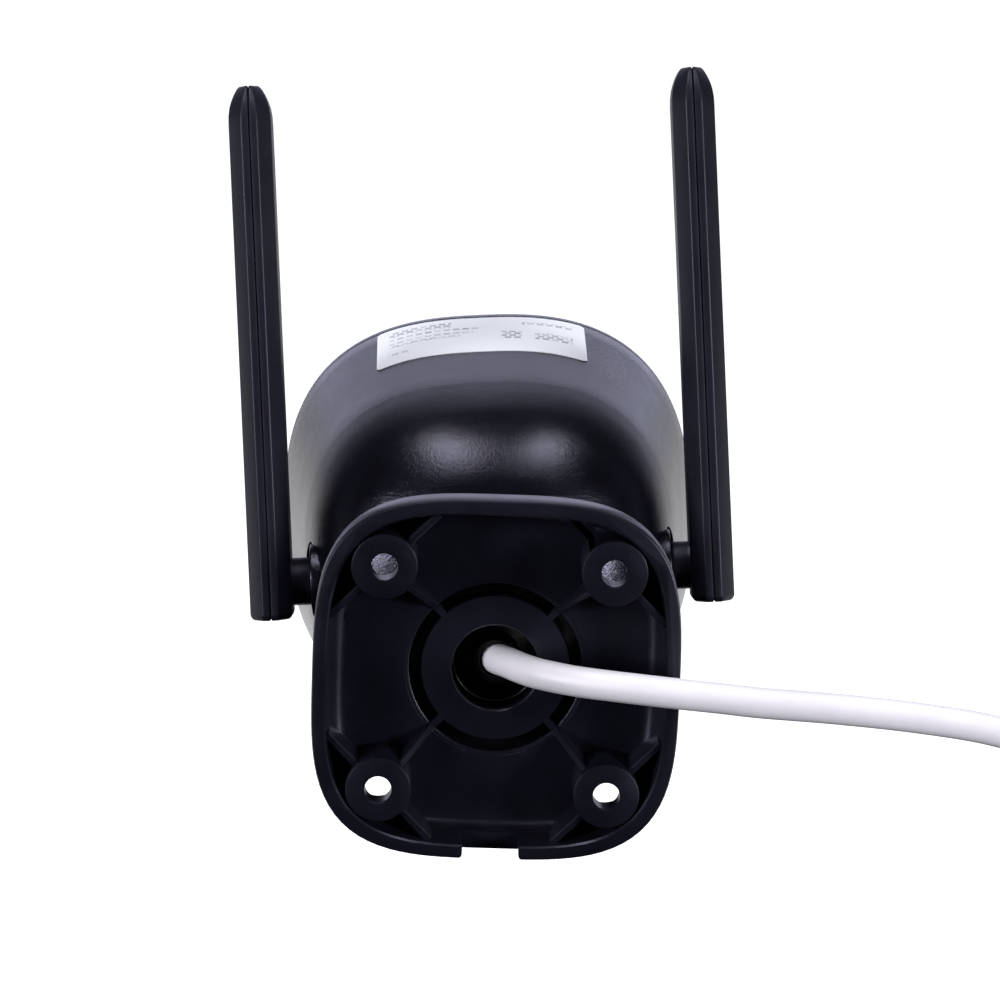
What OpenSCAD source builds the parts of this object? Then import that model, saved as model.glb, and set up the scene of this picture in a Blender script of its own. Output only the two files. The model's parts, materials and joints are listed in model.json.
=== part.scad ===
// Outdoor wireless camera: a square wall base, a three-axis arm, a rounded housing and two antennas.
// Millimetres. The origin is the centre of the face that meets the wall. The wall side is +Y, up is +Z.
// Inside depth() a piece is drawn with x across, y up and z as the distance from the wall.

/* [Wall base] */
// Side of the rounded square base
base_size = 68.2; // [50:0.1:110]
// Depth of the base from the wall to its front face
base_depth = 13; // [9:0.5:24]
// Depth of the inner floor below the wall face
floor_depth = 11; // [7:0.5:22]
// Width of the rim that rests on the wall
rim_land = 2.6; // [1.6:0.1:5]
// Spacing of the four screw holes
hole_pitch = 42.5; // [30:0.5:80]
// Clearance hole for a wall screw
screw_hole_d = 5; // [3.5:0.1:6.5]
// Outside of each screw boss
boss_d = 12.3; // [9:0.1:16]
// Bore for the cable in the middle of the base
hub_d = 16.3; // [10:0.1:24]
// Width of the cable notch in the lower rim
notch_w = 10.5; // [6:0.5:16]

/* [Arm] */
// Distance of the tilt axis from the wall
tilt_depth = 38; // [32:0.5:50]
// Diameter of the arm where it enters the housing
journal_d = 20; // [14:0.5:26]
// Outside of the two hand-turned locking rings
lock_ring_d = 36; // [30:0.5:44]

/* [Housing] */
// Half width of the housing at its front rim
rim_half = 43.5; // [34:0.1:55]
// Half width where the tapered band meets the dome
band_half = 37.9; // [30:0.1:50]
// Distance of the front rim from the wall
rim_depth = 142.2; // [120:0.1:180]
// Distance of the back of the dome from the wall
dome_depth = 66; // [56:0.5:90]
// Squareness of the housing outline, where 2 is round
housing_square = 2.63; // [2:0.01:4]
// Wall thickness of the housing
wall = 2.2; // [1.6:0.1:3.5]
// Turn of the housing about its own axis when set up
head_roll = 4.3; // [-20:0.1:20]

/* [Antennas] */
// Distance of the antenna hinges from the wall
hinge_depth = 89.3; // [80:0.1:110]
// Half the spacing between the two antenna centres
antenna_x = 44.75; // [40:0.05:60]
// Thickness of an antenna
antenna_t = 8.6; // [6:0.1:12]
// Width of an antenna
antenna_w = 19; // [12:0.5:26]
// Length of an antenna above its hinge
antenna_up = 100.7; // [60:0.1:180]
// Length of an antenna below its hinge
antenna_down = 7.3; // [5:0.1:12]
// Forward lean of the antennas when set up
antenna_lean = 10; // [-10:1:30]

/* [Cable] */
// Diameter of the main cable
cable_d = 5.8; // [4:0.1:8]
// Diameter of the network tail
network_d = 4.6; // [3:0.1:6]
// Diameter of the power tail
power_d = 3.6; // [2.5:0.1:5]

/* [Hidden] */
$fn = 48;
eps = 0.05;
base_half = base_size / 2;
base_square = 3.45;
boss_land = 4.5;
boss_counter_d = 9.4;
ring_d = 27.8;
groove_d = 33.2;
turntable_groove = 1.9;
rib_t = 1.3;
rib_top = 1.5;
notch_depth = 7;
upstand_d = 44;
flange_d = 40;
flange_top = 16;
upstand_top = 16.2;
column_d = 26;
cup_top = 12.4;
collar_top = 16;
collar_d = 8.6;
cup_bottom = 25;
fork_gap = 14;
fork_t = 5;
fork_r = 11;
tilt_bolt_d = 5;
arm_flange = 54;
arm_flange_top = 57;
journal_end = 73;
pad_x = 36.6;
pad_d = 15;
hinge_pin_d = 6;
hinge_barrel_d = 9.7;
nut_seat_x = 33.4;
bezel_front = 147;
window_half = 40;
skirt_back = 138;
chassis_half = 38.3;
chassis_back = 139;
chassis_front = 140.6;
chassis_hole = 27;
led_board_back = 136;
led_board_front = 137.4;
ir_ring_r = 22;
ir_angles = [60, 90, 120, 240, 270, 300];
spot_x = 25;
main_board_back = 92;
board_hole = 22;
board_t = 1.6;
sensor_board_back = 105;
seat_y = -35;
speaker_seat = -34.2;
cover_depth = 131.5;
cover_tilt = 7.1;
cover_y = -41.3;
black = [0.07, 0.07, 0.08];
soft_black = [0.12, 0.12, 0.13];
steel = [0.7, 0.7, 0.72];
green = [0.05, 0.22, 0.12];
white = [0.9, 0.9, 0.91];

base_outer = [
    [0, base_half, base_half, base_square],
    [5, base_half, base_half, base_square],
    [9, base_half - 0.4, base_half - 0.4, base_square],
    [11, base_half - 1.3, base_half - 1.3, base_square],
    [12.4, base_half - 3.2, base_half - 3.2, base_square],
    [base_depth, base_half - 5.6, base_half - 5.6, base_square]
];
base_inner = [
    [-1, base_half - rim_land, base_half - rim_land, base_square],
    [5, base_half - rim_land - 0.5, base_half - rim_land - 0.5, base_square],
    [8.5, base_half - rim_land - 0.9, base_half - rim_land - 0.9, base_square],
    [10.3, base_half - rim_land - 1.7, base_half - rim_land - 1.7, base_square],
    [floor_depth, base_half - rim_land - 3.2, base_half - rim_land - 3.2, base_square]
];
housing_outer = [
    [dome_depth, 16, 16, 2],
    [dome_depth + 0.8, 19.5, 19.5, 2],
    [dome_depth + 3, 24.5, 24.5, 2.1],
    [dome_depth + 7, 29.2, 29.2, 2.25],
    [dome_depth + 12, 32.4, 32.4, 2.4],
    [dome_depth + 18, 34.8, 34.8, 2.5],
    [dome_depth + 25, 36.6, 36.6, 2.6],
    [dome_depth + 32, band_half, band_half + 0.1, housing_square],
    [rim_depth, rim_half - 0.1, rim_half + 0.2, housing_square]
];
housing_inner = [
    [dome_depth + 2.6, 17, 17, 2],
    [dome_depth + 5, 23, 23, 2.1],
    [dome_depth + 9, 27.6, 27.6, 2.25],
    [dome_depth + 14, 30.6, 30.6, 2.4],
    [dome_depth + 20, 32.8, 32.8, 2.5],
    [dome_depth + 27, 34.6, 34.6, 2.6],
    [dome_depth + 34, band_half - 1.9, band_half - 1.9, housing_square],
    [rim_depth + 1, rim_half - 2.3, rim_half - 2.1, housing_square]
];
bezel_outer = [
    [rim_depth, rim_half - 0.1, rim_half + 0.2, housing_square],
    [144.6, rim_half, rim_half + 0.3, housing_square],
    [146.2, rim_half - 0.7, rim_half - 0.4, housing_square],
    [bezel_front, rim_half - 1.9, rim_half - 1.6, housing_square]
];

// Points each cable follows, from its gland outward.
main_route = [
    [0, -25, 0], [0, -21.5, 0], [-0.1, -18, 0.2], [-0.8, -14.6, 0.7], [-2.3, -11, 1.1],
    [-4.5, -7, 1.2], [-7.3, -3.4, 1.2],
    [-10.6, -0.7, 1.2], [-14.6, 1.9, 1.2], [-19.2, 4, 1.2], [-26.3, 6.6, 1.2], [-33.8, 9.2, 1.2],
    [-41, 11.4, 1.2], [-48.5, 13.1, 1], [-62, 14.3, 0.6], [-77, 14.4, -0.6],
    [-91, 14.4, -2.6], [-104, 14.2, -6.6], [-114, 14.3, -13.6], [-121, 14.4, -23], [-125, 14.5, -35],
    [-127, 14.6, -49], [-128, 14.7, -64], [-128, 14.8, -80], [-128, 14.9, -96], [-128, 15, -112]
];
network_route = [
    [-132, 15, -138], [-133, 15, -148], [-135, 15, -159], [-137, 15, -172], [-138, 15, -186]
];
power_route = [
    [-124, 15, -138], [-122.6, 15, -148], [-120.4, 15, -158], [-118.6, 15, -168], [-118, 15, -178]
];

// One rounded-square outline as a list of points.
function outline(a, b, n, k) = [
    for (i = [0:k - 1])
        let (t = 360 * i / k, r = pow(pow(abs(cos(t)) / a, n) + pow(abs(sin(t)) / b, n), -1 / n))
            [r * cos(t), r * sin(t)]
];

// The height of the housing surface at a given x and distance from the wall.
function band_height(x, z) =
    let (f = (z - dome_depth - 32) / (rim_depth - dome_depth - 32))
        let (a = band_half + f * (rim_half - 0.1 - band_half), b = band_half + 0.1 + f * (rim_half + 0.1 - band_half))
            b * pow(1 - pow(abs(x) / a, housing_square), 1 / housing_square);

// Joins a stack of outlines, each given as height, half width, half height and squareness.
module loft(rings, k = 48) {
    m = len(rings);
    points = [for (r = rings) for (p = outline(r[1], r[2], r[3], k)) [p[0], p[1], r[0]]];
    sides = [
        for (j = [0:m - 2]) for (i = [0:k - 1]) for (h = [0, 1])
            h == 0
                ? [j * k + i, (j + 1) * k + i, (j + 1) * k + (i + 1) % k]
                : [j * k + i, (j + 1) * k + (i + 1) % k, j * k + (i + 1) % k]
    ];
    bottom = [for (i = [0:k - 1]) i];
    top = [for (i = [k - 1:-1:0]) (m - 1) * k + i];
    polyhedron(points = points, faces = concat([bottom], [top], sides), convexity = 6);
}

// A straight plate with the same rounded-square outline.
module slab(z0, z1, a, b, n, k = 48) {
    translate([0, 0, z0]) linear_extrude(height = z1 - z0) polygon(outline(a, b, n, k));
}

function unit(v) = v / norm(v);

function heading(route, i) =
    unit(route[min(i + 1, len(route) - 1)] - route[max(i - 1, 0)]);

// A round cable swept along a list of points.
module tube(route, d, k = 8) {
    m = len(route);
    lean = [0.577, 0.577, -0.577];
    points = [
        for (j = [0:m - 1])
            let (t = heading(route, j), u = unit(lean - (lean * t) * t), v = cross(t, u))
                for (i = [0:k - 1])
                    route[j] + d / 2 * (cos(360 * i / k) * u + sin(360 * i / k) * v)
    ];
    sides = [
        for (j = [0:m - 2]) for (i = [0:k - 1]) for (h = [0, 1])
            h == 0
                ? [j * k + i, (j + 1) * k + i, (j + 1) * k + (i + 1) % k]
                : [j * k + i, (j + 1) * k + (i + 1) % k, j * k + (i + 1) % k]
    ];
    bottom = [for (i = [0:k - 1]) i];
    top = [for (i = [k - 1:-1:0]) (m - 1) * k + i];
    polyhedron(points = points, faces = concat([bottom], [top], sides), convexity = 4);
}

module depth() {
    rotate([90, 0, 0]) children();
}

module head() {
    rotate([0, head_roll, 0]) depth() children();
}

module corners(p) {
    for (x = [-p, p]) for (y = [-p, p]) translate([x, y, 0]) children();
}

// A cylinder between two heights.
module rod(z0, z1, d) {
    translate([0, 0, z0]) cylinder(h = z1 - z0, d = d);
}

// A cylinder between two x positions.
module cross_rod(x0, x1, d) {
    translate([x0, 0, 0]) rotate([0, 90, 0]) cylinder(h = x1 - x0, d = d);
}

// A block given by its low corner and high corner.
module block(lo, hi) {
    translate(lo) cube(hi - lo);
}

// A rib through each boss to the rim, a short one to the corner and a ramp up from the ring.
module base_ribs() {
    boss_r = hole_pitch / sqrt(2);
    for (a = [45:90:315]) rotate([0, 0, a]) {
        block([boss_r - rib_t / 2, -14, rib_top], [boss_r + rib_t / 2, 14, floor_depth + eps]);
        block([boss_r, -rib_t / 2, rib_top + 0.6], [37.5, rib_t / 2, floor_depth + eps]);
        translate([0, rib_t / 2, 0]) rotate([90, 0, 0]) linear_extrude(height = rib_t) polygon([
            [groove_d / 2 - 0.5, floor_depth + eps], [groove_d / 2 - 0.5, floor_depth - 0.3],
            [boss_r - boss_d / 2 + 1, rib_top], [boss_r - boss_d / 2 + 1, floor_depth + eps]
        ]);
    }
}

module base_plate() {
    color(black) depth() difference() {
        union() {
            difference() {
                loft(base_outer);
                loft(base_inner);
            }
            intersection() {
                loft(base_outer);
                union() {
                    corners(hole_pitch / 2) rod(0, base_depth, boss_d);
                    difference() {
                        base_ribs();
                        rod(0, base_depth, groove_d);
                    }
                }
            }
            difference() {
                rod(base_depth - 1, upstand_top, upstand_d);
                rod(base_depth - 2, upstand_top + 1, flange_d + 0.1);
            }
        }
        corners(hole_pitch / 2) rod(-1, base_depth + 1, screw_hole_d);
        corners(hole_pitch / 2) rod(boss_land, base_depth + 1, boss_counter_d);
        rod(-1, base_depth + 1, hub_d);
        difference() {
            rod(floor_depth - eps, base_depth + 0.5, groove_d);
            rod(floor_depth - 1, base_depth + 1, ring_d);
            for (a = [45, 135]) rotate([0, 0, a]) block([-20, -rib_t / 2, floor_depth - 1], [20, rib_t / 2, base_depth + 1]);
        }
        block([-notch_w / 2, -base_half - 1, -1], [notch_w / 2, -base_half + 5, notch_depth]);
    }
}

module cable_grommet() {
    color(soft_black) depth() difference() {
        rod(cup_top, cup_bottom, hub_d);
        difference() {
            rod(cup_top - 1, cup_bottom - 2.5, hub_d - 2.6);
            rod(collar_top, cup_bottom, collar_d);
        }
        rod(collar_top - 1, cup_bottom + 1, cable_d);
    }
}

module turntable() {
    color(black) depth() difference() {
        union() {
            rod(base_depth + 0.05, flange_top, flange_d);
            rod(flange_top - 1, 28, column_d);
            translate([0, 0, tilt_depth]) cross_rod(-fork_gap / 2 - fork_t, fork_gap / 2 + fork_t, fork_r * 2);
            block([-fork_gap / 2 - fork_t, -fork_r, 24], [fork_gap / 2 + fork_t, fork_r, tilt_depth]);
        }
        rod(base_depth - 1, cup_bottom + 0.6, hub_d + 0.3);
        difference() {
            rod(base_depth - 1, base_depth + turntable_groove, groove_d);
            rod(base_depth - 2, base_depth + 3, ring_d);
        }
        block([-fork_gap / 2, -fork_r - 1, tilt_depth - fork_r + 1], [fork_gap / 2, fork_r + 1, tilt_depth + fork_r + 1]);
        translate([0, 0, tilt_depth]) cross_rod(-20, 20, tilt_bolt_d + 0.1);
    }
}

module pan_lock_ring() {
    color(black) depth() difference() {
        rod(base_depth + 0.4, 19, upstand_d + 4);
        rod(base_depth, upstand_top, upstand_d + 0.1);
        rod(base_depth, 20, column_d + 2);
        for (a = [0:15:345]) rotate([0, 0, a]) translate([upstand_d / 2 + 2.6, 0, 13.2]) cylinder(h = 6, d = 2.2, $fn = 16);
    }
}

module knuckle_arm() {
    tongue = fork_gap / 2 - 0.05;
    color(black) depth() difference() {
        union() {
            translate([0, 0, tilt_depth]) cross_rod(-tongue, tongue, fork_r * 2 - 2.4);
            block([-tongue, -8.6, tilt_depth], [tongue, 8.6, arm_flange]);
            rod(tilt_depth + fork_r + 0.6, arm_flange, 22);
            rod(arm_flange, arm_flange_top, 30);
            rod(arm_flange_top - 1, journal_end, journal_d);
        }
        translate([0, 0, tilt_depth]) cross_rod(-20, 20, tilt_bolt_d + 0.1);
        rod(arm_flange - 2, journal_end + 1, 11);
    }
}

module tilt_bolt() {
    end = fork_gap / 2 + fork_t;
    color(steel) depth() translate([0, 0, tilt_depth]) difference() {
        union() {
            cross_rod(-end - 3.2, -end, 9);
            cross_rod(-end - 0.1, end + 4.4, tilt_bolt_d);
        }
        rotate([0, -90, 0]) translate([0, 0, end + 1]) cylinder(h = 3, d = 4.4, $fn = 6);
    }
}

module tilt_nut() {
    end = fork_gap / 2 + fork_t;
    color(steel) depth() translate([end, 0, tilt_depth]) rotate([0, 90, 0]) difference() {
        cylinder(h = 3.6, d = 9.2, $fn = 6);
        translate([0, 0, -1]) cylinder(h = 6, d = tilt_bolt_d);
    }
}

module roll_lock_ring() {
    color(black) depth() difference() {
        rod(arm_flange_top, dome_depth - 0.6, lock_ring_d);
        rod(arm_flange_top - 1, dome_depth + 1, journal_d);
        for (a = [0:15:345]) rotate([0, 0, a]) translate([lock_ring_d / 2 + 0.4, 0, 56]) cylinder(h = 12, d = 2.4, $fn = 16);
    }
}

module roll_retainer() {
    color(steel) depth() difference() {
        rod(dome_depth + 4.3, dome_depth + 6, 28);
        rod(dome_depth, dome_depth + 8, journal_d);
    }
}

module hinge_side(side) {
    mirror([side < 0 ? 1 : 0, 0, 0]) children();
}

module rear_housing() {
    color(black) head() difference() {
        union() {
            difference() {
                loft(housing_outer);
                loft(housing_inner);
            }
            rod(dome_depth + 1.5, dome_depth + 4.2, 36.4);
            for (side = [-1, 1]) translate([0, 0, hinge_depth]) hinge_side(side) cross_rod(nut_seat_x - 0.7, pad_x + 1, pad_d);
            intersection() {
                loft(housing_outer);
                union() {
                    corners(chassis_hole) rod(112, chassis_back, 6.4);
                    corners(chassis_hole + 3) rod(112, skirt_back - 0.2, 5);
                    corners(board_hole) rod(74, main_board_back, 5);
                    block([-16, -42, 99], [16, seat_y, 121]);
                    block([-18, -44, 122.4], [18, -37, chassis_back - 0.1]);
                }
            }
        }
        rod(dome_depth - 1, dome_depth + 6, journal_d + 0.1);
        for (side = [-1, 1]) translate([0, 0, hinge_depth]) hinge_side(side) {
            cross_rod(nut_seat_x - 4, 50, hinge_pin_d + 0.1);
            cross_rod(pad_x, 50, pad_d + 0.6);
            cross_rod(nut_seat_x - 8, nut_seat_x, 11);
        }
        corners(chassis_hole) rod(124, chassis_back + 1, 2.5);
        corners(board_hole) rod(84, main_board_back + 1, 2);
        block([-13, -36, 102], [13, seat_y + 1, 118]);
        for (x = [-9:3.6:9]) for (z = [105:3.6:116]) translate([x, -32, z]) rotate([90, 0, 0]) cylinder(h = 12, d = 1.6, $fn = 16);
        translate([0, cover_y, cover_depth]) rotate([cover_tilt, 0, 0]) {
            block([-15.1, -4, -7.1], [15.1, 1.9, 7.1]);
            block([-10, -1, -4.6], [10, 8, 4.6]);
            for (x = [-12.5, 12.5]) translate([x, -1, 0]) rotate([-90, 0, 0]) cylinder(h = 5, d = 1.8);
        }
    }
}

module front_bezel() {
    color(black) head() difference() {
        union() {
            loft(bezel_outer);
            slab(skirt_back, rim_depth + 0.1, 40.3, 40.3, housing_square);
        }
        slab(144.2, bezel_front + 1, window_half + 0.1, window_half + 0.1, housing_square);
        slab(skirt_back - 1, 145, chassis_half, chassis_half, housing_square);
        block([-19, -50, skirt_back - 1], [19, -36.5, chassis_back + 0.2]);
    }
}

module front_window() {
    color([0.05, 0.05, 0.06, 0.6]) head() difference() {
        slab(145, 146.8, window_half, window_half, housing_square);
        translate([0, -31, 140]) cylinder(h = 10, d = 1.4);
    }
}

module window_gasket() {
    color(soft_black) head() difference() {
        slab(144.2, 145, window_half, window_half, housing_square);
        slab(143, 146, chassis_half, chassis_half, housing_square);
    }
}

module optics_chassis() {
    color(soft_black) head() difference() {
        slab(chassis_back, chassis_front, chassis_half, chassis_half, housing_square);
        corners(chassis_hole) rod(chassis_back - 1, chassis_front + 1, 3.1);
        rod(chassis_back - 1, chassis_front + 1, 21.6);
        for (a = ir_angles) rotate([0, 0, a]) translate([ir_ring_r, 0, 0]) rod(chassis_back - 1, chassis_front + 1, 5.6);
        for (x = [-spot_x, spot_x]) translate([x, 0, 0]) rod(chassis_back - 1, chassis_front + 1, 11);
        translate([0, -31, 0]) rod(chassis_back - 1, chassis_front + 1, 4.4);
        translate([0, 31, 0]) rod(chassis_back - 1, chassis_front + 1, 3.4);
    }
}

module chassis_screws() {
    color(steel) head() corners(chassis_hole) difference() {
        union() {
            rod(128, chassis_front + eps, 2.5);
            rod(chassis_front, chassis_front + 1.6, 4.8);
        }
        rod(chassis_front + 0.8, chassis_front + 2, 2);
    }
}

module lens_barrel() {
    color(soft_black) head() difference() {
        union() {
            rod(116, 134, 14);
            rod(134, 143.4, 21);
        }
        rod(115, 135, 11.4);
        rod(135.5, 144, 17.4);
        translate([0, 0, 134.5]) cylinder(h = 2, d1 = 11.4, d2 = 14);
    }
}

// A lens with one domed face, seated on its rim.
module lens(z, d, edge, rise) {
    r = (d * d / 4 + rise * rise) / (2 * rise);
    intersection() {
        rod(z, z + edge + rise, d);
        translate([0, 0, z + edge + rise - r]) sphere(r = r, $fn = 64);
    }
}

module lens_elements() {
    color([0.55, 0.62, 0.75, 0.5]) head() {
        lens(138.6, 17.4, 1.4, 2.6);
        lens(128, 11.4, 1, 1.2);
        lens(118, 11.4, 1.2, 0.8);
    }
}

module lens_holder() {
    color(soft_black) head() difference() {
        block([-10, -10, sensor_board_back + board_t], [10, 10, 121]);
        rod(116, 122, 14);
        rod(115, 117, 12.4);
        block([-7, -7, 105], [7, 7, 111]);
        block([-5.6, -5.6, 110], [5.6, 5.6, 116]);
    }
}

module ir_cut_filter() {
    color([0.5, 0.3, 0.4, 0.6]) head() block([-6.6, -6.6, 110.2], [6.6, 6.6, 111]);
}

module image_sensor() {
    z = sensor_board_back + board_t;
    color([0.3, 0.3, 0.34]) head() difference() {
        block([-6, -5, z], [6, 5, z + 1.6]);
        block([-4.6, -3.6, z + 1.2], [4.6, 3.6, z + 2]);
    }
}

module sensor_board() {
    color(green) head() difference() {
        block([-19, -19, sensor_board_back], [19, 19, sensor_board_back + board_t]);
        corners(15.5) rod(100, 110, 2.2);
    }
}

module led_board() {
    color(green) head() difference() {
        slab(led_board_back, led_board_front, 31, 33, housing_square);
        rod(130, 140, 21.4);
        corners(chassis_hole) rod(130, 140, 8);
    }
}

module ir_leds() {
    color([0.25, 0.2, 0.3]) head() for (a = ir_angles) rotate([0, 0, a]) translate([ir_ring_r, 0, 0]) {
        rod(led_board_front, led_board_front + 1.2, 5.4);
        rod(led_board_front + 1.1, led_board_front + 3.4, 4.8);
        translate([0, 0, led_board_front + 3.4]) sphere(d = 4.8, $fn = 32);
    }
}

module spot_leds() {
    color([0.95, 0.9, 0.6]) head() for (x = [-spot_x, spot_x]) translate([x, 0, 0]) {
        block([-2.5, -2.5, led_board_front], [2.5, 2.5, led_board_front + 1.1]);
        difference() {
            rod(led_board_front + 1.1, led_board_front + 4.6, 10.6);
            translate([0, 0, led_board_front + 1.9]) cylinder(h = 3, d1 = 5, d2 = 9.6);
        }
    }
}

module light_sensor() {
    color([0.3, 0.3, 0.34]) head() translate([0, 31, 0]) {
        block([-1.5, -1.5, led_board_front], [1.5, 1.5, led_board_front + 1]);
        rod(led_board_front + 1, led_board_front + 2.4, 2.6);
    }
}

module microphone() {
    color(steel) head() translate([0, -31, 0]) difference() {
        rod(led_board_front, led_board_front + 1.8, 4);
        rod(led_board_front + 1.2, led_board_front + 3, 1.2);
    }
}

module main_board() {
    color(green) head() difference() {
        block([-26, -25, main_board_back], [26, 25, main_board_back + board_t]);
        corners(15.5) rod(90, 96, 2.2);
        corners(board_hole) rod(90, 96, 2.2);
    }
}

module board_screws() {
    z = main_board_back + board_t;
    color(steel) head() corners(board_hole) difference() {
        union() {
            rod(86, z + eps, 2);
            rod(z, z + 1.4, 3.8);
        }
        rod(z + 0.7, z + 2, 1.6);
    }
}

module main_chips() {
    z = main_board_back + board_t;
    color([0.16, 0.16, 0.17]) head() {
        block([-8, -8, z], [8, 8, z + 1.4]);
        block([11, -7, z], [20, 6, z + 1.1]);
        block([-22, 2, z], [-12, 9, z + 1.1]);
        block([-21, -12, z], [-14, -5, z + 3]);
    }
}

module shield_can() {
    color(steel) head() difference() {
        block([-14, -10, main_board_back - 3], [8, 10, main_board_back]);
        block([-13.6, -9.6, main_board_back - 2.6], [7.6, 9.6, main_board_back + 1]);
    }
}

module heat_sink() {
    z = main_board_back - 3;
    color([0.75, 0.76, 0.78]) head() {
        block([-13, -9, z - 1.6], [7, 9, z]);
        for (x = [-13:3.6:6]) block([x, -9, z - 7], [x + 1.2, 9, z - 1.5]);
    }
}

module board_standoffs() {
    color([0.75, 0.6, 0.3]) head() corners(15.5) difference() {
        rod(main_board_back + board_t, sensor_board_back, 4.6);
        rod(main_board_back, sensor_board_back + 1, 2.2);
    }
}

module speaker() {
    color(soft_black) head() difference() {
        union() {
            block([-14, speaker_seat, 101], [14, -28, 120]);
            translate([0, -28.05, 110.5]) rotate([-90, 0, 0]) cylinder(h = 2.45, d = 13);
        }
        translate([0, speaker_seat - 1, 110.5]) rotate([-90, 0, 0]) cylinder(h = 2, d = 17);
    }
}

module io_board() {
    color(green) head() difference() {
        union() {
            block([-14, -33, 123], [14, -31.6, 135.8]);
            block([6, -34, 129], [9, -33, 132]);
            for (x = [-12, 12]) translate([x, -37, 125]) rotate([-90, 0, 0]) cylinder(h = 4.2, d = 3);
        }
        translate([7.5, -35, 130.5]) rotate([-90, 0, 0]) cylinder(h = 1.6, d = 2.7);
    }
}

module card_socket() {
    color(steel) head() difference() {
        block([-9, -35.2, 124.4], [4, -33, 134.4]);
        block([-8.2, -36, 125.4], [3.2, -33.6, 136]);
    }
}

module reset_button() {
    color([0.8, 0.8, 0.82]) head() translate([7.5, -33.8, 130.5]) rotate([90, 0, 0]) {
        cylinder(h = 1, d = 2.6);
        translate([0, 0, 0.9]) cylinder(h = 1.1, d = 1.8);
    }
}

module card_cover() {
    color(black) head() translate([0, cover_y, cover_depth]) rotate([cover_tilt, 0, 0]) difference() {
        block([-15, 0, -7], [15, 1.9, 7]);
        for (x = [-12.5, 12.5]) translate([x, -1, 0]) rotate([-90, 0, 0]) cylinder(h = 5, d = 1.9);
        for (x = [-12.5, 12.5]) translate([x, -1, 0]) rotate([-90, 0, 0]) cylinder(h = 1.8, d = 3.4);
    }
}

module cover_seal() {
    color([0.3, 0.3, 0.31]) head() translate([0, cover_y, cover_depth]) rotate([cover_tilt, 0, 0]) difference() {
        block([-10, 1.9, -4.6], [10, 3, 4.6]);
        block([-8.8, 1, -3.4], [8.8, 4, 3.4]);
    }
}

module cover_screws() {
    color(steel) head() translate([0, cover_y, cover_depth]) rotate([cover_tilt, 0, 0])
        for (x = [-12.5, 12.5]) translate([x, 0, 0]) rotate([-90, 0, 0]) difference() {
            union() {
                translate([0, 0, 0.1]) cylinder(h = 0.7, d = 3.3);
                translate([0, 0, 0.7]) cylinder(h = 3, d = 1.8);
            }
            cylinder(h = 0.5, d = 1.1, $fn = 6);
        }
}

// A thin sheet that follows the top of the tapered band.
module rating_label() {
    across = [for (x = [-21.9:1.46:21.9]) x];
    ends = [118, 141.2];
    lift = [0.05, 0.22];
    k = len(across);
    points = [for (e = ends) for (h = lift) for (x = across) [x, band_height(x, e) + h, e]];
    faces = concat(
        [for (i = [0:k - 2]) for (q = [0, 1]) q == 0 ? [i, i + 1, 2 * k + i + 1] : [i, 2 * k + i + 1, 2 * k + i]],
        [for (i = [0:k - 2]) for (q = [0, 1]) q == 0 ? [k + i, 3 * k + i, 3 * k + i + 1] : [k + i, 3 * k + i + 1, k + i + 1]],
        [for (i = [0:k - 2]) [i, k + i, k + i + 1, i + 1]],
        [for (i = [0:k - 2]) [2 * k + i, 2 * k + i + 1, 3 * k + i + 1, 3 * k + i]],
        [[0, 2 * k, 3 * k, k], [k - 1, 2 * k - 1, 4 * k - 1, 3 * k - 1]]
    );
    color([0.84, 0.89, 0.95]) head() polyhedron(points = points, faces = faces, convexity = 4);
}

// One antenna cross-section: half thickness, half width and the size of its chamfers.
function paddle_ring(y, hx, hz, cx, cz) = [
    [-hx, y, -hz + cz], [-hx, y, hz - cz], [-hx + cx, y, hz], [hx - cx, y, hz],
    [hx, y, hz - cz], [hx, y, -hz + cz], [hx - cx, y, -hz], [-hx + cx, y, -hz]
];

module paddle(rings) {
    k = 8;
    m = len(rings);
    points = [for (r = rings) for (p = paddle_ring(r[0], r[1], r[2], r[3], r[4])) p];
    sides = [
        for (j = [0:m - 2]) for (i = [0:k - 1])
            [j * k + i, (j + 1) * k + i, (j + 1) * k + (i + 1) % k, j * k + (i + 1) % k]
    ];
    bottom = [for (i = [0:k - 1]) i];
    top = [for (i = [k - 1:-1:0]) (m - 1) * k + i];
    polyhedron(points = points, faces = concat([bottom], [top], sides), convexity = 4);
}

module paddle_solid() {
    hx = antenna_t / 2;
    hz = antenna_w / 2;
    paddle([
        [-antenna_down, hx - 1, hz - 1.2, 2, 3],
        [-antenna_down + 1, hx, hz, 2.65, 4],
        [antenna_up - 7.3, hx, hz, 2.65, 4],
        [antenna_up - 4.5, hx - 0.4, hz - 0.6, 2.45, 4],
        [antenna_up - 2, hx - 1.2, hz - 1.8, 2, 4],
        [antenna_up, hx - 2.2, hz - 3.6, 1.3, 3.6]
    ]);
}

module paddle_hollow() {
    hx = antenna_t / 2 - 1.3;
    hz = antenna_w / 2 - 1.3;
    paddle([
        [-antenna_down + 1.4, hx, hz, 2.2, 3.4],
        [antenna_up - 8, hx, hz, 2.2, 3.4],
        [antenna_up - 4, hx - 1, hz - 2, 1.6, 3.4]
    ]);
}

module on_hinge(side) {
    head() translate([0, 0, hinge_depth]) hinge_side(side) translate([antenna_x, 0, 0]) rotate([antenna_lean, 0, 0]) children();
}

module antenna_outer(side) {
    color(soft_black) on_hinge(side) difference() {
        intersection() {
            paddle_solid();
            block([0, -20, -20], [20, 150, 20]);
        }
        paddle_hollow();
    }
}

module antenna_inner(side) {
    color(soft_black) on_hinge(side) difference() {
        intersection() {
            paddle_solid();
            block([-20, -20, -20], [0, 150, 20]);
        }
        paddle_hollow();
        cross_rod(-10, 0, hinge_pin_d);
    }
}

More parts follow.
